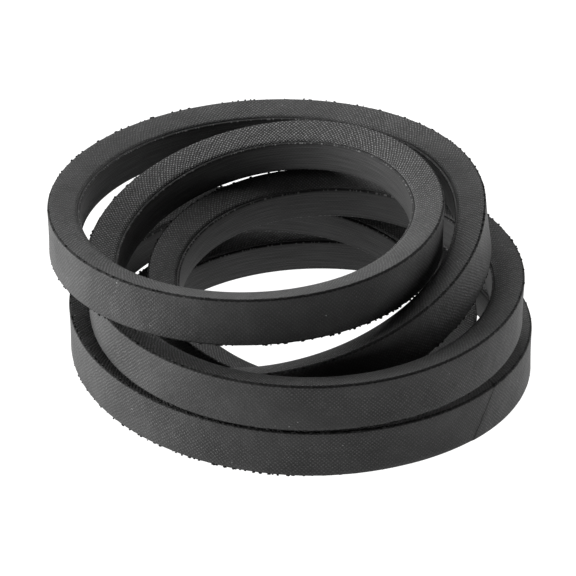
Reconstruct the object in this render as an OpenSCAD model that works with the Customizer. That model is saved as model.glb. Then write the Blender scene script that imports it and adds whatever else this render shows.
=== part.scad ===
// Wrapped V-belt, coiled for stock in five turns.
// One endless belt stands on a flank, wide face outward. Each node is one real
// layer of the belt, swept along the same closed curve.
// Millimetres, +Z up, origin on the floor under the middle of the coil.

/* [Belt section] */
// Width of the wide face
belt_w = 16.6; // [15:0.1:17]
// Depth from the wide face to the narrow face
belt_h = 10.3; // [9:0.1:11]
// Slope of each flank while the belt is bent
flank_angle = 16; // [15:0.5:18]
// Chamfer that stands for the rounded edges of the cover
edge_round = 0.7; // [0.4:0.1:1]
// Thickness of the canvas cover
cover_t = 0.9; // [0.6:0.1:1.1]
// Slit left where the two cover plies meet
lap_slit = 0.3; // [0.2:0.1:0.6]
// Depth of the rubber under the wide face
tension_t = 1.9; // [1.2:0.1:2.2]
// Depth of the gum strip on each side of the cords
gum_t = 0.6; // [0.4:0.1:0.9]
// Thickness of the cord
cord_d = 1.1; // [0.8:0.1:1.2]
// Times that the cord runs round the belt
cord_laps = 7; // [4:1:7]
// Bond line between one layer and the next
bond = 0.05; // [0.04:0.01:0.08]

/* [Coil] */
// Radius of the innermost turn, to its wide face
eye_radius = 48; // [47:0.5:50]
// Room across that one turn takes: the belt's depth and some slack
lane = 12; // [11.9:0.1:12.5]
// Lanes out from the innermost turn, at right, back, left and front, turn by turn
turn_lane = [
    [2.35, 1.9, 0.9, 1.0],
    [1.1, 2.5, 2.6, 0.7],
    [-0.1, 0.6, 1.55, 2.1],
    [2.0, 0.4, 0.0, 0.0],
    [0.8, 1.5, 2.1, 1.8]
]; // [-0.1:0.05:2.6]
// Belt widths up from the floor at the same places
turn_level = [
    [0.0, 0.0, 0.1, 1.0],
    [2.4, 2.6, 2.4, 2.4],
    [2.7, 2.8, 1.65, 1.1],
    [1.4, 1.8, 1.1, 0.2],
    [0.1, 1.05, 0.6, 0.0]
]; // [0:0.05:2.8]
// Share of the curve's climb that the belt's section leans with
lean = 0.5; // [0:0.1:1]
// Steps along one turn of the coil
steps_per_turn = 30; // [24:6:36]

/* [Hidden] */

turns = len(turn_lane);
places = len(turn_lane[0]);
knots = turns * places;
stations = turns * steps_per_turn;
// How far the floor turn's edge is pressed flat where it stands
settle = 0.3;

// Depths below the wide face at which the layers begin and end
tension_top = cover_t + bond;
upper_gum_top = tension_top + tension_t + bond;
cord_top = upper_gum_top + gum_t + bond;
lower_gum_top = cord_top + cord_d + bond;
core_top = lower_gum_top + gum_t + bond;
core_end = belt_h - cover_t - bond;
cover_side = (cover_t + bond) / cos(flank_angle);

// ---- The closed curve: a smooth periodic spline through the places ----

radii = [for (turn = turn_lane, n = turn) eye_radius + lane * n];
heights = [for (turn = turn_level, n = turn) belt_w / 2 - settle + belt_w * n];

// Spline coefficients that make the curve pass through each value exactly
pole = sqrt(3) - 2;
function wrap(i) = (i % knots + knots) % knots;
function coefs(values) = [
    for (i = [0 : knots - 1])
        sqrt(3) * sum([for (k = [-9 : 9]) pow(pole, abs(k)) * values[wrap(i + k)]])
];
function sum(v, i = 0) = i == len(v) ? 0 : v[i] + sum(v, i + 1);
radius_c = coefs(radii);
height_c = coefs(heights);

// Weights of four neighbouring coefficients for the value, slope and bend
function value_w(t) = [
    pow(1 - t, 3) / 6,
    (3 * pow(t, 3) - 6 * pow(t, 2) + 4) / 6,
    (-3 * pow(t, 3) + 3 * pow(t, 2) + 3 * t + 1) / 6,
    pow(t, 3) / 6
];
function slope_w(t) = [
    -pow(1 - t, 2) / 2,
    (3 * pow(t, 2) - 4 * t) / 2,
    (-3 * pow(t, 2) + 2 * t + 1) / 2,
    pow(t, 2) / 2
];
function bend_w(t) = [1 - t, 3 * t - 2, 1 - 3 * t, t];
function spline(c, weights, i) =
    weights * [for (k = [-1 : 2]) c[wrap(i + k)]];

// ---- Frames along the curve ----

// Turns one knot step into radians
knot_rad = 360 / places * PI / 180;

// [point, outward, up] where the belt has run s turns of the coil
function frame_at(s) =
    let (
        u = s * places,
        i = floor(u),
        t = u - i,
        a = 360 * s,
        out = [cos(a), sin(a), 0],
        along = [-sin(a), cos(a), 0],
        r = spline(radius_c, value_w(t), i),
        r1 = spline(radius_c, slope_w(t), i) / knot_rad,
        r2 = spline(radius_c, bend_w(t), i) / pow(knot_rad, 2),
        z = spline(height_c, value_w(t), i),
        z1 = spline(height_c, slope_w(t), i) / knot_rad,
        z2 = spline(height_c, bend_w(t), i) / pow(knot_rad, 2),
        velocity = r1 * out + r * along + [0, 0, z1],
        pull = (r2 - r) * out + 2 * r1 * along + [0, 0, z2],
        tangent = velocity / norm(velocity),
        bend = pull - (pull * tangent) * tangent,
        leaned = [bend.x, bend.y, lean * bend.z],
        inward = leaned - (leaned * tangent) * tangent,
        outward = -inward / norm(inward)
    )
    [r * out + [0, 0, z], outward, cross(outward, tangent)];

raw_frames = [for (i = [0 : stations - 1]) frame_at(i / steps_per_turn)];

// Moves the middle of the coil's footprint to the origin
rim = [for (f = raw_frames, side = [-1, 1]) f[0] + side * (belt_w / 2 - edge_round) * f[2]];
function middle(v) = (min(v) + max(v)) / 2;
coil_mid = [middle([for (p = rim) p.x]), middle([for (p = rim) p.y]), 0];
frames = [for (f = raw_frames) [f[0] - coil_mid, f[1], f[2]]];

// A point of the section: depth below the wide face, across from its middle.
// The floor presses flat whatever would pass below it.
function place(frame, p) =
    let (q = frame[0] - p.x * frame[1] + p.y * frame[2])
    [q.x, q.y, max(q.z, 0)];

// ---- Sections, as [depth, across] points ----

// Half the section's width at a depth, less the sideways inset of the cover
function half_w(depth, inset = 0) = belt_w / 2 - depth * tan(flank_angle) - inset;

// A layer between two depths, inside the cover
function layer(top, end) = [
    [top, -half_w(top, cover_side)],
    [end, -half_w(end, cover_side)],
    [end, half_w(end, cover_side)],
    [top, half_w(top, cover_side)]
];

// Where the wrapping ply ends on each flank
wrap_end = belt_h - cover_t;
skin = cover_t / cos(flank_angle);
outer_section = [
    [0, -half_w(0) + edge_round],
    [edge_round, -half_w(edge_round)],
    [wrap_end, -half_w(wrap_end)],
    [wrap_end, -half_w(wrap_end, skin)],
    [cover_t, -half_w(cover_t, skin)],
    [cover_t, half_w(cover_t, skin)],
    [wrap_end, half_w(wrap_end, skin)],
    [wrap_end, half_w(wrap_end)],
    [edge_round, half_w(edge_round)],
    [0, half_w(0) - edge_round]
];
inner_section = [
    [wrap_end + bond, -half_w(wrap_end, lap_slit)],
    [belt_h, -half_w(belt_h, lap_slit)],
    [belt_h, half_w(belt_h, lap_slit)],
    [wrap_end + bond, half_w(wrap_end, lap_slit)]
];

// ---- Sweeps ----

// Joins ring after ring of points into faces. A loop meets its own start
function side_faces(rings, size, loop) = [
    for (i = [0 : rings - (loop ? 1 : 2)], j = [0 : size - 1])
        let (
            a = i * size,
            b = (i + 1) % rings * size,
            k = (j + 1) % size
        )
        each [[a + j, b + k, a + k], [a + j, b + j, b + k]]
];

// One layer all the way round the endless belt
module belt_loop(section) {
    points = [for (f = frames, p = section) place(f, p)];
    polyhedron(points, side_faces(stations, len(section), true));
}

// ---- The layers ----

// Canvas that wraps the wide face and both flanks
module outer_cover_ply() {
    color([0.27, 0.27, 0.28]) belt_loop(outer_section);
}

// Canvas strip that closes the narrow face
module inner_cover_ply() {
    color([0.2, 0.2, 0.21]) belt_loop(inner_section);
}

// Rubber that stretches as the belt bends
module tension_rubber() {
    color([0.1, 0.1, 0.1]) belt_loop(layer(tension_top, tension_top + tension_t));
}

// Gum that bonds the cord to the rubber above it
module upper_adhesion_gum() {
    color([0.16, 0.14, 0.13]) belt_loop(layer(upper_gum_top, upper_gum_top + gum_t));
}

// One cord, wound side by side from one edge of the belt to the other
module tensile_cord() {
    room = half_w(lower_gum_top, cover_side) - cord_d / 2 - bond;
    steps = cord_laps * stations;
    middle = cord_top + cord_d / 2;
    half = cord_d / 2;
    points = [
        for (i = [0 : steps - 2])
            let (across = -room + 2 * room * i / (steps - 2))
            each [
                for (corner = [[-1, 0], [0, -1], [1, 0], [0, 1]])
                    place(frames[i % stations], [middle, across] + half * corner)
            ]
    ];
    last = len(points) - 1;
    ends = [[0, 1, 2, 3], [last, last - 1, last - 2, last - 3]];
    color([0.85, 0.8, 0.68])
        polyhedron(points, concat(ends, side_faces(steps - 1, 4, false)));
}

// Gum that bonds the cord to the core
module lower_adhesion_gum() {
    color([0.16, 0.14, 0.13]) belt_loop(layer(lower_gum_top, lower_gum_top + gum_t));
}

// Wedge that takes the squeeze in a pulley's groove
module compression_rubber() {
    color([0.08, 0.08, 0.08]) belt_loop(layer(core_top, core_end));
}

outer_cover_ply();
inner_cover_ply();
tension_rubber();
upper_adhesion_gum();
tensile_cord();
lower_adhesion_gum();
compression_rubber();
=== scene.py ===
import math

import bpy
import numpy as np
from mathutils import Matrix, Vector


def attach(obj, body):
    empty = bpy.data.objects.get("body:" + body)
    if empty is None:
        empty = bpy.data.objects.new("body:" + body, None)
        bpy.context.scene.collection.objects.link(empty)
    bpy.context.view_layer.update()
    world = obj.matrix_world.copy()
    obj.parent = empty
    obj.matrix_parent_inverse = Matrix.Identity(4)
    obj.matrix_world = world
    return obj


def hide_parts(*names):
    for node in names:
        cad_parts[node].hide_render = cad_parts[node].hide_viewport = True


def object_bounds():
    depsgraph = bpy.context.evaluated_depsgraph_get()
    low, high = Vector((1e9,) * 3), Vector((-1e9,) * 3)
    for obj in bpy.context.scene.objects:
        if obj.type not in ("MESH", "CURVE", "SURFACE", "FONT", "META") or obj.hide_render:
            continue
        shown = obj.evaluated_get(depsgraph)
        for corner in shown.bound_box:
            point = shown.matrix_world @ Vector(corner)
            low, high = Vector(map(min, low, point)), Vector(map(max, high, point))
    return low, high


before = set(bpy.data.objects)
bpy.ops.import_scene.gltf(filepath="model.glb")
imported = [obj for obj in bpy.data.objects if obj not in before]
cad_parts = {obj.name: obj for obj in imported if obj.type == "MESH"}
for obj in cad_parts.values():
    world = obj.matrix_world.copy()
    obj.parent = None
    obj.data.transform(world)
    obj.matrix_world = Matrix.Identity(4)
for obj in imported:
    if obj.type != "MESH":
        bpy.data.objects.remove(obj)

CAD_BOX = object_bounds()
MM = 0.001
SEED = 11

# Reading the CAD, in millimetres: points this close are one point, a section's
# points lie this near its plane, and this near its origin
JOIN_WITHIN = 0.01
PLANE_WITHIN = 0.02
SECTION_REACH = 12
# Flank edges that lean apart by more than this, in radians, are opposite flanks
FLANKS_APART = 0.42
# Steps this near an azimuth, in degrees, stand at it
AZIMUTH_WITHIN = 1.0

# Shape of the skin, in millimetres
STEP_ALONG = 0.45
PLY = 0.9
WIDE_CORNER_R = 0.8
NARROW_CORNER_R = 0.45
# How far the wide face is dished, and the flanks and the narrow face bow out,
# where the belt is bent as tightly as this
WIDE_DISH = 0.12
FLANK_BULGE = 0.10
NARROW_BULGE = 0.1
# Bond line between the two plies, as in the CAD
BOND = 0.05

# Points across each side of an outline, and round each corner
FLANK_POINTS = 7
WIDE_POINTS = 9
STRIP_POINTS = 7
WIDE_CORNER_POINTS = 7
NARROW_CORNER_POINTS = 5
# The jacket's inside has this many points, at the end of its outline
INSIDE_POINTS = 4

# How far the corner zone reaches from the wide face's corners and the narrow face's, in
# millimetres. Shade is painted dark in it, and the skin there is rougher
WIDE_CORNER_ZONE = 1.3
NARROW_CORNER_ZONE = 1.0
# Depth over which the wide face's look turns into the flanks', in millimetres
FLANK_BLEND = 0.6

# Bumps on the edges of the wide face: spacing, reach and height in millimetres
FINE_NUBS = (1.3, 0.5, 0.22)
COARSE_NUBS = (4.0, 0.8, 0.45)
# How far from a corner, in millimetres, the skin follows these bumps
NUB_REACH = 0.9
# Harmonics that make the edges more worn here than there, and the yarn too
EDGE_WAVES = 16
YARN_WAVES = 18

# Lumps of loose yarn: radius, spacing and sinking below the corner in
# millimetres, and length as a multiple of the radius
LUMP_RADIUS = (0.2, 0.46)
LUMP_SPACING = (0.6, 3.4)
LUMP_SUNK = 0.4
LUMP_STRAY = 0.2
LUMP_LENGTH = (1.0, 2.2)

# Weave of the bias-cut canvas: spacing of its nubs and how far its yarns
# wander, in millimetres
WEAVE_PITCH = 1.35
YARN_WANDER = 1.15

# Where the canvas laps over its own end, in degrees round the coil from +X, and
# how far the lap runs along the belt for each millimetre across it
SPLICE_AZIMUTH = -39.0
SPLICE_BIAS = 0.68
# The lap's height, the softness of its step and the length over which it fades,
# in millimetres
SPLICE_STEP = 0.22
SPLICE_SOFT = 0.16
SPLICE_FADE = 14.0

# Middle, in degrees, and reach, in millimetres, of the stretch of the top turn
# where the weave stands bare
BARE_AZIMUTH = 105.0
BARE_REACH = 130.0

# Side of the floor, and distance and side of each square light, in metres
FLOOR_SIDE = 12.0
LIGHT_DISTANCE = 0.9
LIGHT_SIDE = 0.6
# Strength of the floor's glow, its share of the floor's look for the belt and for
# the camera, and the strength of the world's light on the belt
FLOOR_GLOW = 1.25
FLOOR_GLOW_SHARE = (0.75, 0.88)
WORLD_GIVEN = 0.03
# Each light's azimuth from the front towards +X and elevation, in degrees, and
# power in watts
LIGHTS = {
    "left_key": (-90, 10, 20),
    "back_low": (-165, 25, 2),
    "back_top": (-165, 60, 5),
    "right_low": (120, 2, 9),
}

# The camera's elevation in degrees, distance in metres, lens and sensor width in
# millimetres, and how far its aim lies from the middle of the CAD's box
CAMERA_ELEVATION = 28.4
CAMERA_DISTANCE = 1.012
CAMERA_LENS = 196.5
SENSOR = 36.0
AIM_FROM_CENTRE = Vector((-1.3, -2.6, -3.7)) * MM


# ---- The belt's run, read from the CAD ----

def joined_points(node):
    """A CAD node's points with duplicates joined, and the pairs that share an edge."""
    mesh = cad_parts[node].data
    flat = np.empty(len(mesh.vertices) * 3)
    mesh.vertices.foreach_get("co", flat)
    raw = flat.reshape(-1, 3)
    _, first, index = np.unique(
        np.round(raw / (JOIN_WITHIN * MM)), axis=0, return_index=True, return_inverse=True
    )
    index = index.ravel()
    edges = set()
    for edge in mesh.edges:
        a, b = (int(index[v]) for v in edge.vertices)
        if a != b:
            edges.add((min(a, b), max(a, b)))
    return raw[first], edges


def neighbours_of(count, edges):
    """For each point, the points that share an edge with it."""
    near = [set() for _ in range(count)]
    for a, b in edges:
        near[a].add(b)
        near[b].add(a)
    return near


def read_sections(node):
    """Cuts a four-sided loop node into its sections, in order along the belt.

    Each row holds the points (upper wide, upper narrow, lower wide, lower narrow).
    """
    points, edges = joined_points(node)
    near = neighbours_of(len(points), edges)

    def gap(a, b):
        return float(np.linalg.norm(points[a] - points[b]))

    # The flank side is the shortest side of a section
    partner = [min(near[i], key=lambda j: gap(i, j)) for i in range(len(points))]
    pairs = sorted({(min(i, j), max(i, j)) for i, j in enumerate(partner)})
    pair_of = {i: k for k, pair in enumerate(pairs) for i in pair}

    def slant(k):
        d = points[pairs[k][1]] - points[pairs[k][0]]
        return d / np.linalg.norm(d)

    def middle(k):
        return (points[pairs[k][0]] + points[pairs[k][1]]) / 2

    def facing(k):
        """The nearest flank that leans the other way: the one across the same section."""
        around = {pair_of[j] for i in pairs[k] for j in near[i]} - {k}
        alike = math.cos(FLANKS_APART)
        leaning = [q for q in around if abs(float(slant(k) @ slant(q))) < alike]
        return min(leaning, key=lambda q: np.linalg.norm(middle(k) - middle(q)))

    section_of = {}
    sections = []
    for k in range(len(pairs)):
        if k in section_of:
            continue
        q = facing(k)
        section_of[k] = section_of[q] = len(sections)
        upper, lower = (k, q) if middle(k)[2] > middle(q)[2] else (q, k)
        a, b = pairs[upper]
        c, d = pairs[lower]
        if gap(a, c) + gap(b, d) > gap(a, d) + gap(b, c):
            c, d = d, c
        if gap(a, c) < gap(b, d):
            a, b, c, d = b, a, d, c
        sections.append((a, b, c, d))

    links = [set() for _ in sections]
    for a, b in edges:
        m, n = section_of[pair_of[a]], section_of[pair_of[b]]
        if m != n:
            links[m].add(n)
            links[n].add(m)

    def turn(m, n):
        """Positive when going from section m to n runs anticlockwise from above."""
        p, q = points[sections[m][0]], points[sections[n][0]]
        return p[0] * q[1] - p[1] * q[0]

    order = [0, max(links[0], key=lambda n: turn(0, n))]
    while len(order) < len(sections):
        order.append(next(n for n in links[order[-1]] if n != order[-2]))
    return np.array([[points[i] for i in sections[m]] for m in order])


def refine(samples, count):
    """Resamples a closed, evenly stepped curve to more points, smoothly."""
    spectrum = np.fft.rfft(samples, axis=0)
    wide = np.zeros((count // 2 + 1,) + samples.shape[1:], dtype=complex)
    wide[: len(spectrum)] = spectrum
    # The shortest wave of an even count stands for two waves of the finer curve
    if len(samples) % 2 == 0:
        wide[len(spectrum) - 1] *= 0.5
    return np.fft.irfft(wide, n=count, axis=0) * (count / len(samples))


def unit(v):
    """Vectors scaled to length one."""
    return v / np.linalg.norm(v, axis=-1, keepdims=True)


def run_of(sections):
    """Origin, outward and up at each section, with the origin at the core's wide side."""
    upper_wide, upper_narrow, lower_wide, lower_narrow = (sections[:, i] for i in range(4))
    origin = (upper_wide + lower_wide) / 2
    outward = unit(origin - (upper_narrow + lower_narrow) / 2)
    up = unit(upper_wide + upper_narrow - lower_wide - lower_narrow)
    return origin, outward, up


def section_points(node, origin, outward, up):
    """A node's points in the plane of one section, as (depth, across)."""
    points, _ = joined_points(node)
    rel = points - origin
    along = np.cross(outward, up)
    in_plane = np.abs(rel @ along) < PLANE_WITHIN * MM
    near = np.linalg.norm(rel, axis=1) < SECTION_REACH * MM
    here = in_plane & near
    return np.stack([-rel[here] @ outward, rel[here] @ up], axis=1)


class Belt:
    """Fine frames along the whole belt, and the size of its section."""

    def __init__(self):
        coarse = read_sections("compression_rubber")
        origin, outward, up = run_of(coarse)
        top = int(np.argmax(origin[:, 2]))
        self.measure_section(origin[top], outward[top], up[top])
        length = np.linalg.norm(np.roll(origin, -1, axis=0) - origin, axis=1).sum()
        self.count = int(round(length / (STEP_ALONG * MM)))
        self.lay_run(coarse)

    def measure_section(self, origin, outward, up):
        """Takes the section's sizes from the two cover plies at the coil's top.

        `lift` is the depth of the core's wide side below the wide face, and
        `half` is half the width that the sharp corners of that face would have.
        """
        cover = section_points("outer_cover_ply", origin, outward, up)
        strip = section_points("inner_cover_ply", origin, outward, up)
        self.lift = -cover[:, 0].min()
        self.depth = strip[:, 0].max() + self.lift
        self.wrap_end = cover[:, 0].max() + self.lift
        side = cover[cover[:, 1] > 0]
        edge = side[np.argmax(side[:, 1])]
        tip = side[side[:, 0] > cover[:, 0].max() - JOIN_WITHIN * MM]
        tip = tip[np.argmax(tip[:, 1])]
        self.slope = (edge[1] - tip[1]) / (tip[0] - edge[0])
        self.half = edge[1] + self.slope * (edge[0] + self.lift)
        self.strip_half = strip[:, 1].max()

    def lay_run(self, coarse):
        """Sets the middle of the wide face, the directions and the length at each step."""
        origin, self.outward, self.up = run_of(refine(coarse, self.count))
        self.face = origin + self.outward * self.lift
        steps = np.linalg.norm(np.roll(self.face, -1, axis=0) - self.face, axis=1)
        self.along = np.concatenate([[0], np.cumsum(steps)])
        self.length = self.along[-1]

    def half_at(self, depth):
        """Half the belt's width at a depth below the wide face."""
        return self.half - depth * self.slope

    def steps_at(self, degrees):
        """The steps of all strands that stand this way round the coil."""
        azimuth = np.degrees(np.arctan2(self.face[:, 1], self.face[:, 0]))
        apart = np.abs((azimuth - degrees + 180) % 360 - 180)
        return np.where(apart < AZIMUTH_WITHIN)[0]

    def lowest_at(self, degrees):
        """The step of the lowest, outermost strand that faces this way round the coil."""
        near = self.steps_at(degrees)
        radius = np.linalg.norm(self.face[near, :2], axis=1)
        # A millimetre down counts as much as two millimetres out
        score = self.face[near, 2] - 0.5 * radius
        return int(near[np.argmin(score)])

    def highest_at(self, degrees):
        """The step of the highest strand that faces this way round the coil."""
        near = self.steps_at(degrees)
        return int(near[np.argmax(self.face[near, 2])])


BELT = Belt()
SPLICE = BELT.lowest_at(SPLICE_AZIMUTH)
BARE = BELT.highest_at(BARE_AZIMUTH)


# ---- Outlines of the section, as (depth, across) in metres ----

def arc(corner, radius, a, b, steps):
    """Points that round a corner between the directions a and b, which lead away from it."""
    a, b = unit(np.array(a)), unit(np.array(b))
    half = math.acos(float(np.clip(a @ b, -1, 1))) / 2
    centre = np.array(corner) + unit(a + b) * radius / math.sin(half)
    start = np.array(corner) + a * radius / math.tan(half) - centre
    end = np.array(corner) + b * radius / math.tan(half) - centre
    sweep = math.acos(float(np.clip(unit(start) @ unit(end), -1, 1)))
    return [
        centre + (math.sin(sweep * (1 - t)) * start + math.sin(sweep * t) * end) / math.sin(sweep)
        for t in np.linspace(0, 1, steps)
    ]


def between(p, q, steps, bulge):
    """Points strictly between p and q, bowed by bulge at the middle.

    With depth drawn to the right and across drawn up, they bow to the right of
    the way from p to q.
    """
    p, q = np.array(p), np.array(q)
    right = unit(np.array([q[1] - p[1], p[0] - q[0]]))
    ts = [(i + 1) / (steps + 1) for i in range(steps)]
    return [p + (q - p) * t + right * bulge * 4 * t * (1 - t) for t in ts]


def jacket_outline():
    """The wrapping ply: up one flank, over the wide face, down the other, and back inside."""
    end, half = BELT.wrap_end, BELT.half
    ply_side = PLY * MM * math.sqrt(1 + BELT.slope ** 2)
    flank = np.array([1, -BELT.slope])
    radius = WIDE_CORNER_R * MM
    upper_arc = arc((0, half), radius, flank, (0, -1), WIDE_CORNER_POINTS)
    lower_arc = [p * (1, -1) for p in reversed(upper_arc)]
    upper_tip = np.array((end, BELT.half_at(end)))
    lower_tip = upper_tip * (1, -1)
    inner = [
        (end, -BELT.half_at(end) + ply_side),
        (PLY * MM, -BELT.half_at(PLY * MM) + ply_side),
        (PLY * MM, BELT.half_at(PLY * MM) - ply_side),
        (end, BELT.half_at(end) - ply_side),
    ]
    bulge, dish = FLANK_BULGE * MM, WIDE_DISH * MM
    return (
        [upper_tip]
        + between(upper_tip, upper_arc[0], FLANK_POINTS, bulge)
        + upper_arc
        + between(upper_arc[-1], lower_arc[0], WIDE_POINTS, -dish)
        + lower_arc
        + between(lower_arc[-1], lower_tip, FLANK_POINTS, bulge)
        + [lower_tip]
        + [np.array(p) for p in inner]
    )


def strip_outline():
    """The ply that closes the narrow face, rounded at the belt's inner corners."""
    top, bottom, half = BELT.wrap_end + BOND * MM, BELT.depth, BELT.strip_half
    corner_half = half - (bottom - top) * BELT.slope
    radius = NARROW_CORNER_R * MM
    side = np.array([-1, BELT.slope])
    upper_arc = arc((bottom, corner_half), radius, side, (0, -1), NARROW_CORNER_POINTS)
    lower_arc = [p * (1, -1) for p in reversed(upper_arc)]
    face = between(upper_arc[-1], lower_arc[0], STRIP_POINTS, -NARROW_BULGE * MM)
    return [np.array((top, half))] + upper_arc + face + lower_arc + [np.array((top, -half))]


# ---- Worn edges ----

def nubs(rng, kind):
    """Small bumps at uneven distances along the belt, in metres, one value per step."""
    spacing, width, height = (size * MM for size in kind)
    count = BELT.count
    profile = np.zeros(count)
    step = BELT.length / count
    at = 0.0
    while at < BELT.length:
        size = height * rng.uniform(0.2, 1.0) ** 2
        reach = width * rng.uniform(0.6, 1.4)
        span = int(reach / step) + 1
        for k in range(-span, span + 1):
            i = int(at / step) + k
            x = abs(i * step - at) / reach
            if x < 1:
                bump = size * (0.5 + 0.5 * math.cos(math.pi * x))
                profile[i % count] = max(profile[i % count], bump)
        at += spacing * rng.uniform(0.4, 1.7)
    return profile


def slow_wave(rng, waves):
    """A smooth wave between 0 and 1 round the whole belt, made of random harmonics."""
    full = 2 * math.pi
    t = np.arange(BELT.count) / BELT.count * full
    total = sum(rng.normal() * np.cos(k * t + rng.uniform(0, full)) for k in range(1, waves))
    return (total - total.min()) / (total.max() - total.min())


# ---- Meshes swept along the belt ----

# Marks of a lump of loose yarn: halfway to a flank, and in the corner zone, so it takes the
# corners' painted shade
LUMP_ZONE = (0.5, 1.0, 0.0, 1.0)


def zones(depth, across):
    """Marks of each outline point: red for the flanks, green for the corners, where shade is
    painted dark.
    """
    flank = np.clip(depth / (FLANK_BLEND * MM), 0, 1)
    wide_edge = np.hypot(depth, np.abs(across) - BELT.half)
    narrow_edge = np.hypot(depth - BELT.depth, np.abs(across) - BELT.half_at(BELT.depth))
    corner_shade = np.minimum(wide_edge / WIDE_CORNER_ZONE, narrow_edge / NARROW_CORNER_ZONE) / MM
    edge = np.clip(1 - corner_shade, 0, 1)
    return np.stack([flank, edge, np.zeros(len(depth)), np.ones(len(depth))], axis=1)


def along_mm():
    """How far along the belt each step lies from the splice, in millimetres."""
    return (BELT.along - BELT.along[SPLICE]) / MM


def around_mm(outline):
    """How far round a closed outline each point lies from its first, in millimetres."""
    sides = np.linalg.norm(np.roll(outline, -1, axis=0) - outline, axis=1)
    return np.concatenate([[0], np.cumsum(sides)]) / MM


def swept_points(outline):
    """The outline's points at every step along the belt."""
    depth, across = outline[:, 0], outline[:, 1]
    return (
        BELT.face[:, None, :]
        - depth[None, :, None] * BELT.outward[:, None, :]
        + across[None, :, None] * BELT.up[:, None, :]
    )


def sweep(name, outline, proud=None, lumps=None):
    """A closed mesh along the whole belt, with UVs in millimetres along and around."""
    outline = np.array(outline)
    size, count = len(outline), BELT.count
    points = swept_points(outline)
    if proud is not None:
        points = points + proud(points, outline)
    points[..., 2] = np.maximum(points[..., 2], 0.0)

    i, j = np.meshgrid(np.arange(count), np.arange(size), indexing="ij")
    i2, j2 = (i + 1) % count, (j + 1) % size
    faces = np.stack([i * size + j, i * size + j2, i2 * size + j2, i2 * size + j], axis=-1)
    points, faces = points.reshape(-1, 3), faces.reshape(-1, 4).tolist()
    zone = np.tile(zones(outline[:, 0], outline[:, 1]), (count, 1))
    if lumps is not None:
        extra, triangles = lumps
        faces += (triangles + len(points)).tolist()
        points = np.concatenate([points, extra])
        zone = np.concatenate([zone, np.tile(LUMP_ZONE, (len(extra), 1))])

    mesh = bpy.data.meshes.new(name)
    mesh.from_pydata(points.tolist(), [], faces)
    along, around = along_mm(), around_mm(outline)
    corners = [(i, j), (i, j + 1), (i + 1, j + 1), (i + 1, j)]
    uv = np.stack([np.stack([along[m], around[n]], -1) for m, n in corners], axis=2)
    # The lumps' corners come after the sweep's, and keep a UV of zero
    flat = np.zeros(2 * len(mesh.loops))
    flat[: uv.size] = uv.reshape(-1)
    mesh.uv_layers.new(name="belt_mm").data.foreach_set("uv", flat)
    colours = mesh.color_attributes.new("zone", "FLOAT_COLOR", "POINT")
    colours.data.foreach_set("color", zone.reshape(-1))
    mesh.polygons.foreach_set("use_smooth", [True] * len(mesh.polygons))
    mesh.update()
    obj = bpy.data.objects.new(name, mesh)
    bpy.context.scene.collection.objects.link(obj)
    return obj


def normals_of(points):
    """Outward normals of the swept skin, from its neighbours both ways."""
    along = np.roll(points, -1, axis=0) - np.roll(points, 1, axis=0)
    around = np.roll(points, -1, axis=1) - np.roll(points, 1, axis=1)
    return unit(np.cross(around, along))


def middle_of(outline):
    """How far round the jacket's outline the middle of the wide face lies, in millimetres."""
    sides = np.linalg.norm(np.diff(np.array(outline), axis=0), axis=1)
    return float(sides[: (len(outline) - INSIDE_POINTS) // 2].sum()) / MM


def splice_step(outline):
    """Height of the lapped canvas end: a low step on the bias that fades along the belt."""
    u, v = along_mm()[:-1, None], around_mm(outline)[None, :-1]
    past = u + SPLICE_BIAS * (v - middle_of(outline))
    rise = 1 / (1 + np.exp(-np.clip(past / SPLICE_SOFT, -40, 40)))
    fade = np.exp(-np.clip(past, 0, None) / SPLICE_FADE)
    outside = np.arange(len(outline)) < len(outline) - INSIDE_POINTS
    return SPLICE_STEP * MM * rise * fade * outside


def worn_skin(points, outline):
    """Shifts that fray both edges of the wide face and raise the bias splice."""
    rng = np.random.default_rng(SEED)
    depth, across = outline[:, 0], outline[:, 1]
    shift = np.zeros_like(points)
    for side in (1, -1):
        reach = np.hypot(depth, across - side * BELT.half)
        weight = np.clip(1 - reach / (NUB_REACH * MM), 0, 1)
        fine = nubs(rng, FINE_NUBS)
        coarse = nubs(rng, COARSE_NUBS)
        wave = slow_wave(rng, EDGE_WAVES)
        height = fine * (0.3 + 0.7 * wave) + coarse * wave
        way = unit(0.8 * BELT.outward + side * 0.6 * BELT.up)
        shift += weight[None, :, None] * height[:, None, None] * way[:, None, :]
    return shift + normals_of(points) * splice_step(outline)[..., None]


def small_ball():
    """A twelve-point ball of radius about one, and its triangles."""
    turn = 2 * math.pi / 5
    points = [(0, 0, 1)]
    points += [(math.cos(turn * k), math.sin(turn * k), 0.25) for k in range(5)]
    low = [turn * (k + 0.5) for k in range(5)]
    points += [(0.8 * math.cos(t), 0.8 * math.sin(t), -0.6) for t in low]
    points.append((0, 0, -1))
    # Point 0 is the top, 1 to 5 the upper ring, 6 to 10 the lower ring, 11 the bottom
    faces = []
    for k in range(5):
        m = (k + 1) % 5
        faces += [(0, 1 + k, 1 + m), (1 + k, 6 + k, 1 + m), (1 + m, 6 + k, 6 + m)]
        faces.append((11, 6 + m, 6 + k))
    return np.array(points), np.array(faces)


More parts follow.
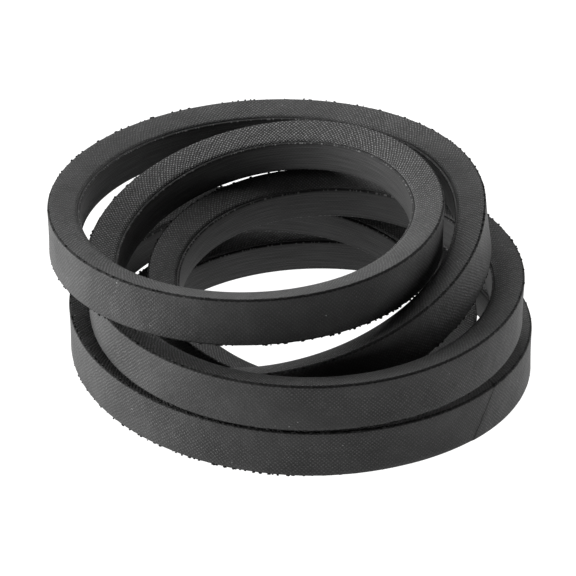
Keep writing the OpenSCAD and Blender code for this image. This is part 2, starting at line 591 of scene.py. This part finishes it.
def lump(rng, ball, i, side, wear):
    """One lump of loose yarn at step i, drawn out along a corner of the wide face."""
    size = rng.uniform(*LUMP_RADIUS) * MM * (0.6 + 0.5 * wear)
    out, up = BELT.outward[i], BELT.up[i] * side
    way = np.cross(out, up)
    sunk = LUMP_SUNK * MM
    centre = BELT.face[i] + up * (BELT.half - sunk) - out * sunk
    stray = out * rng.uniform(0, 1) + up * rng.uniform(0, 1)
    centre = centre + stray * LUMP_STRAY * MM
    shape = ball * rng.uniform(0.75, 1.25, ball.shape)
    long = rng.uniform(*LUMP_LENGTH)
    spread = shape[:, :1] * way * long + shape[:, 1:2] * out + shape[:, 2:3] * up
    points = centre + size * spread
    points[:, 2] = np.maximum(points[:, 2], 0.0)
    return points


def fray(rng):
    """Lumps of loose yarn along both edges of the wide face: points and triangles."""
    ball, triangles = small_ball()
    lumps = []
    for side in (1, -1):
        wave = slow_wave(rng, YARN_WAVES)
        at = 0.0
        while at < BELT.length / MM:
            i = int(np.searchsorted(BELT.along, at * MM)) % BELT.count
            if rng.uniform() < 0.25 + 0.75 * wave[i]:
                lumps.append(lump(rng, ball, i, side, wave[i]))
            at += rng.uniform(*LUMP_SPACING)
    offsets = np.arange(len(lumps))[:, None, None] * len(ball)
    return np.concatenate(lumps), (triangles + offsets).reshape(-1, 3)


# ---- Materials ----

class Graph:
    """Short calls for building a material out of nodes."""

    def __init__(self, name):
        self.material = bpy.data.materials.new(name)
        self.material.use_nodes = True
        self.nodes = self.material.node_tree.nodes
        self.links = self.material.node_tree.links
        self.shader = self.nodes["Principled BSDF"]

    def feed(self, socket, value):
        """Links an output to a socket, or sets the socket to a plain value."""
        if isinstance(value, bpy.types.NodeSocket):
            self.links.new(value, socket)
        else:
            socket.default_value = value

    def math(self, operation, a, b=0.0):
        node = self.nodes.new("ShaderNodeMath")
        node.operation = operation
        self.feed(node.inputs[0], a)
        self.feed(node.inputs[1], b)
        return node.outputs[0]

    def times(self, a, b):
        return self.math("MULTIPLY", a, b)

    def plus(self, a, b):
        return self.math("ADD", a, b)

    def ramp(self, value, low, high, to_low=0.0, to_high=1.0):
        """A smooth step from to_low at low to to_high at high."""
        node = self.nodes.new("ShaderNodeMapRange")
        node.interpolation_type = "SMOOTHSTEP"
        for socket, number in zip(node.inputs, (value, low, high, to_low, to_high)):
            self.feed(socket, number)
        return node.outputs[0]

    def mix(self, factor, a, b):
        """Colour a where the factor is 0, and b where it is 1."""
        node = self.nodes.new("ShaderNodeMix")
        node.data_type = "RGBA"
        # Sockets 6 and 7 are the two colours, and output 2 is the mixed one
        self.feed(node.inputs[0], factor)
        self.feed(node.inputs[6], a)
        self.feed(node.inputs[7], b)
        return node.outputs[2]

    def noise(self, vector, scale, detail=3.0):
        """Noise, with a scale per millimetre on the skin and per metre in space."""
        node = self.nodes.new("ShaderNodeTexNoise")
        self.feed(node.inputs["Vector"], vector)
        node.inputs["Scale"].default_value = scale
        node.inputs["Detail"].default_value = detail
        return node.outputs[0]

    def stretched(self, vector, scale):
        """The vector with each axis scaled, which draws a pattern out."""
        node = self.nodes.new("ShaderNodeMapping")
        self.feed(node.inputs["Vector"], vector)
        node.inputs["Scale"].default_value = scale
        return node.outputs[0]

    def uv(self):
        """The place on the skin in millimetres: as a vector, along and around."""
        node = self.nodes.new("ShaderNodeUVMap")
        node.uv_map = "belt_mm"
        split = self.nodes.new("ShaderNodeSeparateXYZ")
        self.links.new(node.outputs[0], split.inputs[0])
        return node.outputs[0], split.outputs[0], split.outputs[1]

    def place(self):
        """The place in space, in metres."""
        return self.nodes.new("ShaderNodeNewGeometry").outputs["Position"]

    def zone(self):
        """The marks that zones() made: flanks, and corners with painted shade."""
        node = self.nodes.new("ShaderNodeAttribute")
        node.attribute_name = "zone"
        split = self.nodes.new("ShaderNodeSeparateColor")
        self.links.new(node.outputs["Color"], split.inputs[0])
        return split.outputs[0], split.outputs[1]

    def bump(self, height, distance, normal=None):
        """A normal from a height of 0 to 1, which stands for this distance in metres."""
        node = self.nodes.new("ShaderNodeBump")
        node.inputs["Strength"].default_value = 1.0
        node.inputs["Distance"].default_value = distance
        self.feed(node.inputs["Height"], height)
        if normal is not None:
            self.links.new(normal, node.inputs["Normal"])
        return node.outputs[0]

    def finish(self, colour, rough, normal=None, specular=0.4):
        """Feeds the shader, and returns the finished material."""
        self.feed(self.shader.inputs["Base Color"], colour)
        self.feed(self.shader.inputs["Roughness"], rough)
        self.shader.inputs["Specular IOR Level"].default_value = specular
        if normal is not None:
            self.links.new(normal, self.shader.inputs["Normal"])
        return self.material


def grey(level, warm=0.0):
    """A linear grey, a little redder and less blue when it is warm."""
    return (level * (1 + warm), level, level * (1 - warm), 1.0)


def weave(g, uv, u, v):
    """Staggered nubs of a canvas laid on the bias, 0 in the gaps and 1 on the nubs."""
    # A whole number of nubs fits round the belt, so that the weave has no seam
    pitch = BELT.length / MM / round(BELT.length / MM / WEAVE_PITCH)
    u = g.plus(u, g.times(g.noise(uv, 0.35, 2.0), YARN_WANDER))
    v = g.plus(v, g.times(g.noise(uv, 0.28, 2.0), YARN_WANDER))
    turn = 2 * math.pi / pitch
    rows = g.math("COSINE", g.times(u, turn))
    files = g.math("COSINE", g.times(v, turn))
    nub = g.ramp(g.times(rows, files), -0.25, 0.85)
    uneven = g.ramp(g.noise(uv, 0.6, 3.0), 0.34, 0.62, 0.55, 1.15)
    return g.times(nub, uneven)


def weave_shown(g, uv, u, flank):
    """How far the rubber has rubbed off the yarn, so that the weave stands out."""
    patches = g.ramp(g.noise(g.stretched(uv, (1, 2.2, 1)), 0.016, 2.0), 0.42, 0.66)
    from_bare = g.math("SUBTRACT", u, float(along_mm()[BARE]))
    stretch = g.ramp(g.math("ABSOLUTE", from_bare), BARE_REACH * 0.4, BARE_REACH, 1.0, 0.0)
    bare = g.math("MAXIMUM", g.times(patches, 0.5), stretch)
    show = g.plus(g.times(bare, 0.8), 0.2)
    # The wide face shows less of it than the flanks
    return g.times(show, g.plus(0.3, g.times(flank, 0.7)))


def canvas_material(middle):
    """Rubbered canvas. `middle` is the middle of the wide face, in millimetres around."""
    dull, pale, scuffed, yarn, fluff = (grey(n) for n in (0.032, 0.054, 0.06, 0.23, 0.4))
    # The second and third of these are near-black painted shade: in the weave's gaps and along
    # the corners
    speck, weave_gap_shade, corner_shade, gap = (grey(n) for n in (0.009, 0.006, 0.005, 0.004))
    g = Graph("rubbered_canvas")
    uv, u, v = g.uv()
    flank, edge = g.zone()
    nub = weave(g, uv, u, v)
    show = weave_shown(g, uv, u, flank)
    grain = g.noise(uv, 2.6, 6.0)

    # Cloudy rubber, then painted shade in the weave's gaps and light yarn on its nubs, then
    # scuffs and specks
    blotch = g.ramp(g.noise(uv, 0.06, 4.0), 0.3, 0.75)
    base = g.mix(blotch, dull, pale)
    # Painted shade: the weave's gaps turn near black wherever the weave shows
    gap_shade_mask = g.times(g.math("SUBTRACT", 1.0, nub), show)
    base = g.mix(g.times(gap_shade_mask, 0.7), base, weave_gap_shade)
    base = g.mix(g.times(g.math("POWER", nub, 1.5), show), base, yarn)
    streak = g.ramp(g.noise(g.stretched(uv, (0.12, 1.6, 1)), 0.9, 4.0), 0.45, 0.7)
    base = g.mix(g.times(streak, 0.15), base, scuffed)
    base = g.mix(g.times(g.ramp(grain, 0.35, 0.6, 1.0, 0.0), 0.3), base, speck)
    # Painted shade along the corners, broken up by noise; the same mask makes them rougher
    corner_shade_mask = g.ramp(g.plus(edge, g.times(g.noise(uv, 0.9, 4.0), 0.7)), 0.6, 0.85)
    base = g.mix(g.times(corner_shade_mask, 0.9), base, corner_shade)
    # A dark seam where the canvas laps over its own end
    across = g.times(g.math("SUBTRACT", v, middle), SPLICE_BIAS)
    past = g.math("ABSOLUTE", g.plus(u, across))
    base = g.mix(g.ramp(past, 0.1, 0.45, 0.9, 0.0), base, gap)
    lint = g.ramp(g.noise(uv, 1.15, 0.0), 0.87, 0.89)
    base = g.mix(g.times(lint, 0.6), base, fluff)

    relief = g.times(nub, g.plus(0.3, g.times(show, 0.7)))
    normal = g.bump(g.plus(relief, g.times(grain, 0.35)), 0.2 * MM)
    normal = g.bump(g.noise(uv, 0.16, 3.0), 0.5 * MM, normal)
    rough = g.ramp(g.plus(grain, g.times(nub, 0.3)), 0.2, 0.9, 0.72, 0.56)
    rough = g.math("MAXIMUM", rough, g.times(corner_shade_mask, 0.9))
    return g.finish(base, rough, normal, 0.3)


def strip_material():
    """The narrow face: finer canvas with fine lines along the belt."""
    # The last of these is near-black painted shade for the corners
    dull, pale, thread, yarn, corner_shade = (grey(n) for n in (0.026, 0.05, 0.1, 0.16, 0.006))
    g = Graph("inner_canvas_strip")
    uv, u, v = g.uv()
    _, edge = g.zone()
    nub = weave(g, uv, u, v)
    lines = g.noise(g.stretched(uv, (0.06, 2.4, 1)), 1.0, 4.0)
    grain = g.noise(uv, 2.8, 5.0)
    base = g.mix(g.ramp(lines, 0.35, 0.7), dull, pale)
    base = g.mix(g.times(nub, 0.12), base, thread)
    # Painted shade at the corners, with short light dashes where the yarn shows
    base = g.mix(g.ramp(edge, 0.1, 0.6, 0.0, 0.9), base, corner_shade)
    dash = g.ramp(g.noise(g.stretched(uv, (1.1, 0.3, 1)), 1.0, 1.0), 0.56, 0.62)
    dash = g.times(dash, g.ramp(edge, 0.35, 0.7))
    base = g.mix(g.times(dash, 0.8), base, yarn)
    height = g.plus(g.times(lines, 0.7), g.times(nub, 0.25))
    normal = g.bump(g.plus(height, g.times(grain, 0.2)), 0.14 * MM)
    return g.finish(base, g.ramp(grain, 0.3, 0.7, 0.7, 0.56), normal, 0.3)


def rubber_material(name, level, warm, rough):
    """Moulded rubber or gum: cloudy, with fine pale specks."""
    dull, pale, speckled = (grey(level * n, warm) for n in (1, 1.7, 3.2))
    g = Graph(name)
    where = g.place()
    speck = g.noise(where, 900.0, 5.0)
    cloud = g.noise(where, 60.0, 3.0)
    base = g.mix(g.ramp(cloud, 0.3, 0.7), dull, pale)
    base = g.mix(g.times(g.ramp(speck, 0.6, 0.72), 0.4), base, speckled)
    polish = g.ramp(speck, 0.3, 0.7, rough, rough - 0.12)
    return g.finish(base, polish, g.bump(speck, 0.06 * MM))


def cord_material():
    """Twisted yarn, light on its ridges and dark between them."""
    groove, ridge, stain = (0.36, 0.29, 0.17, 1), (0.72, 0.64, 0.46, 1), (0.25, 0.2, 0.12, 1)
    g = Graph("twisted_cord")
    where = g.place()
    node = g.nodes.new("ShaderNodeTexWave")
    node.bands_direction = "DIAGONAL"
    node.inputs["Scale"].default_value = 900.0
    node.inputs["Distortion"].default_value = 2.0
    g.links.new(where, node.inputs["Vector"])
    twist = node.outputs["Fac"]
    base = g.mix(twist, groove, ridge)
    base = g.mix(g.times(g.noise(where, 300.0), 0.4), base, stain)
    return g.finish(base, 0.7, g.bump(twist, 0.12 * MM))


# ---- Build ----

def stands_for(piece, node, material):
    """Gives a piece its material, and puts it in the place of a CAD node."""
    piece.data.materials.append(material)
    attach(piece, "root")
    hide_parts(node)


def add_jacket():
    """The canvas that wraps the wide face and both flanks."""
    outline = jacket_outline()
    lumps = fray(np.random.default_rng(SEED + 1))
    jacket = sweep("canvas_jacket", outline, worn_skin, lumps)
    look = canvas_material(middle_of(outline))
    stands_for(jacket, "outer_cover_ply", look)


def add_strip():
    """The canvas strip that closes the narrow face."""
    strip = sweep("canvas_lap_strip", strip_outline())
    stands_for(strip, "inner_cover_ply", strip_material())


def finish_inner_layers():
    """Gives the CAD nodes inside the cover their materials."""
    looks = {
        "tension_rubber": rubber_material("tension_rubber_look", 0.02, 0.0, 0.62),
        "upper_adhesion_gum": rubber_material("upper_gum_look", 0.04, 0.12, 0.5),
        "lower_adhesion_gum": rubber_material("lower_gum_look", 0.04, 0.12, 0.5),
        "compression_rubber": rubber_material("core_rubber_look", 0.016, 0.0, 0.66),
        "tensile_cord": cord_material(),
    }
    for node, look in looks.items():
        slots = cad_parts[node].data.materials
        for i in range(len(slots)):
            slots[i] = look


# ---- Stage, light and camera ----

def floor_material():
    """Pale grey that glows a little, and more of it glows for the camera."""
    g = Graph("pale_floor")
    g.finish(grey(0.7), 0.9, specular=0.1)
    glow = g.nodes.new("ShaderNodeEmission")
    glow.inputs["Color"].default_value = grey(1.0)
    glow.inputs["Strength"].default_value = FLOOR_GLOW
    path = g.nodes.new("ShaderNodeLightPath")
    share = g.ramp(path.outputs["Is Camera Ray"], 0, 1, *FLOOR_GLOW_SHARE)
    blend = g.nodes.new("ShaderNodeMixShader")
    g.feed(blend.inputs[0], share)
    g.links.new(g.shader.outputs[0], blend.inputs[1])
    g.links.new(glow.outputs[0], blend.inputs[2])
    g.links.new(blend.outputs[0], g.nodes["Material Output"].inputs["Surface"])
    return g.material


def add_floor():
    mesh = bpy.data.meshes.new("floor")
    reach = FLOOR_SIDE / 2
    corners = [(-reach, -reach, 0), (reach, -reach, 0), (reach, reach, 0), (-reach, reach, 0)]
    mesh.from_pydata(corners, [], [(0, 1, 2, 3)])
    floor = bpy.data.objects.new("floor", mesh)
    bpy.context.scene.collection.objects.link(floor)
    mesh.materials.append(floor_material())


def add_light(name, azimuth, elevation, power):
    """A soft square light that points at the origin, under the belt."""
    data = bpy.data.lights.new(name, "AREA")
    data.size = LIGHT_SIDE
    data.energy = power
    light = bpy.data.objects.new(name, data)
    a, e = math.radians(azimuth), math.radians(elevation)
    way = Vector((math.sin(a) * math.cos(e), -math.cos(a) * math.cos(e), math.sin(e)))
    light.location = way * LIGHT_DISTANCE
    light.rotation_euler = (-way).to_track_quat("-Z", "Y").to_euler()
    bpy.context.scene.collection.objects.link(light)


def add_world():
    """White to the camera, and a faint even light to the belt."""
    world = bpy.data.worlds.new("studio")
    world.use_nodes = True
    nodes, links = world.node_tree.nodes, world.node_tree.links
    path = nodes.new("ShaderNodeLightPath")
    given = nodes.new("ShaderNodeMapRange")
    given.inputs["To Min"].default_value = WORLD_GIVEN
    given.inputs["To Max"].default_value = 1.0
    links.new(path.outputs["Is Camera Ray"], given.inputs["Value"])
    back = nodes["Background"]
    back.inputs["Color"].default_value = grey(1.0)
    links.new(given.outputs[0], back.inputs["Strength"])
    bpy.context.scene.world = world


def add_camera():
    """Looks along +Y and down at the belt, a little off its middle."""
    low, high = (Vector(p) for p in CAD_BOX)
    aim = (low + high) / 2 + AIM_FROM_CENTRE
    e = math.radians(CAMERA_ELEVATION)
    back = Vector((0, -math.cos(e), math.sin(e)))
    data = bpy.data.cameras.new("camera")
    data.sensor_width = SENSOR
    data.lens = CAMERA_LENS
    data.clip_start = 0.01
    data.clip_end = 50
    camera = bpy.data.objects.new("camera", data)
    camera.location = aim + back * CAMERA_DISTANCE
    camera.rotation_euler = (-back).to_track_quat("-Z", "Y").to_euler()
    bpy.context.scene.collection.objects.link(camera)
    bpy.context.scene.camera = camera


add_jacket()
add_strip()
finish_inner_layers()
add_floor()
for light, setting in LIGHTS.items():
    add_light(light, *setting)
add_world()
add_camera()
bpy.context.scene.view_settings.view_transform = "Standard"
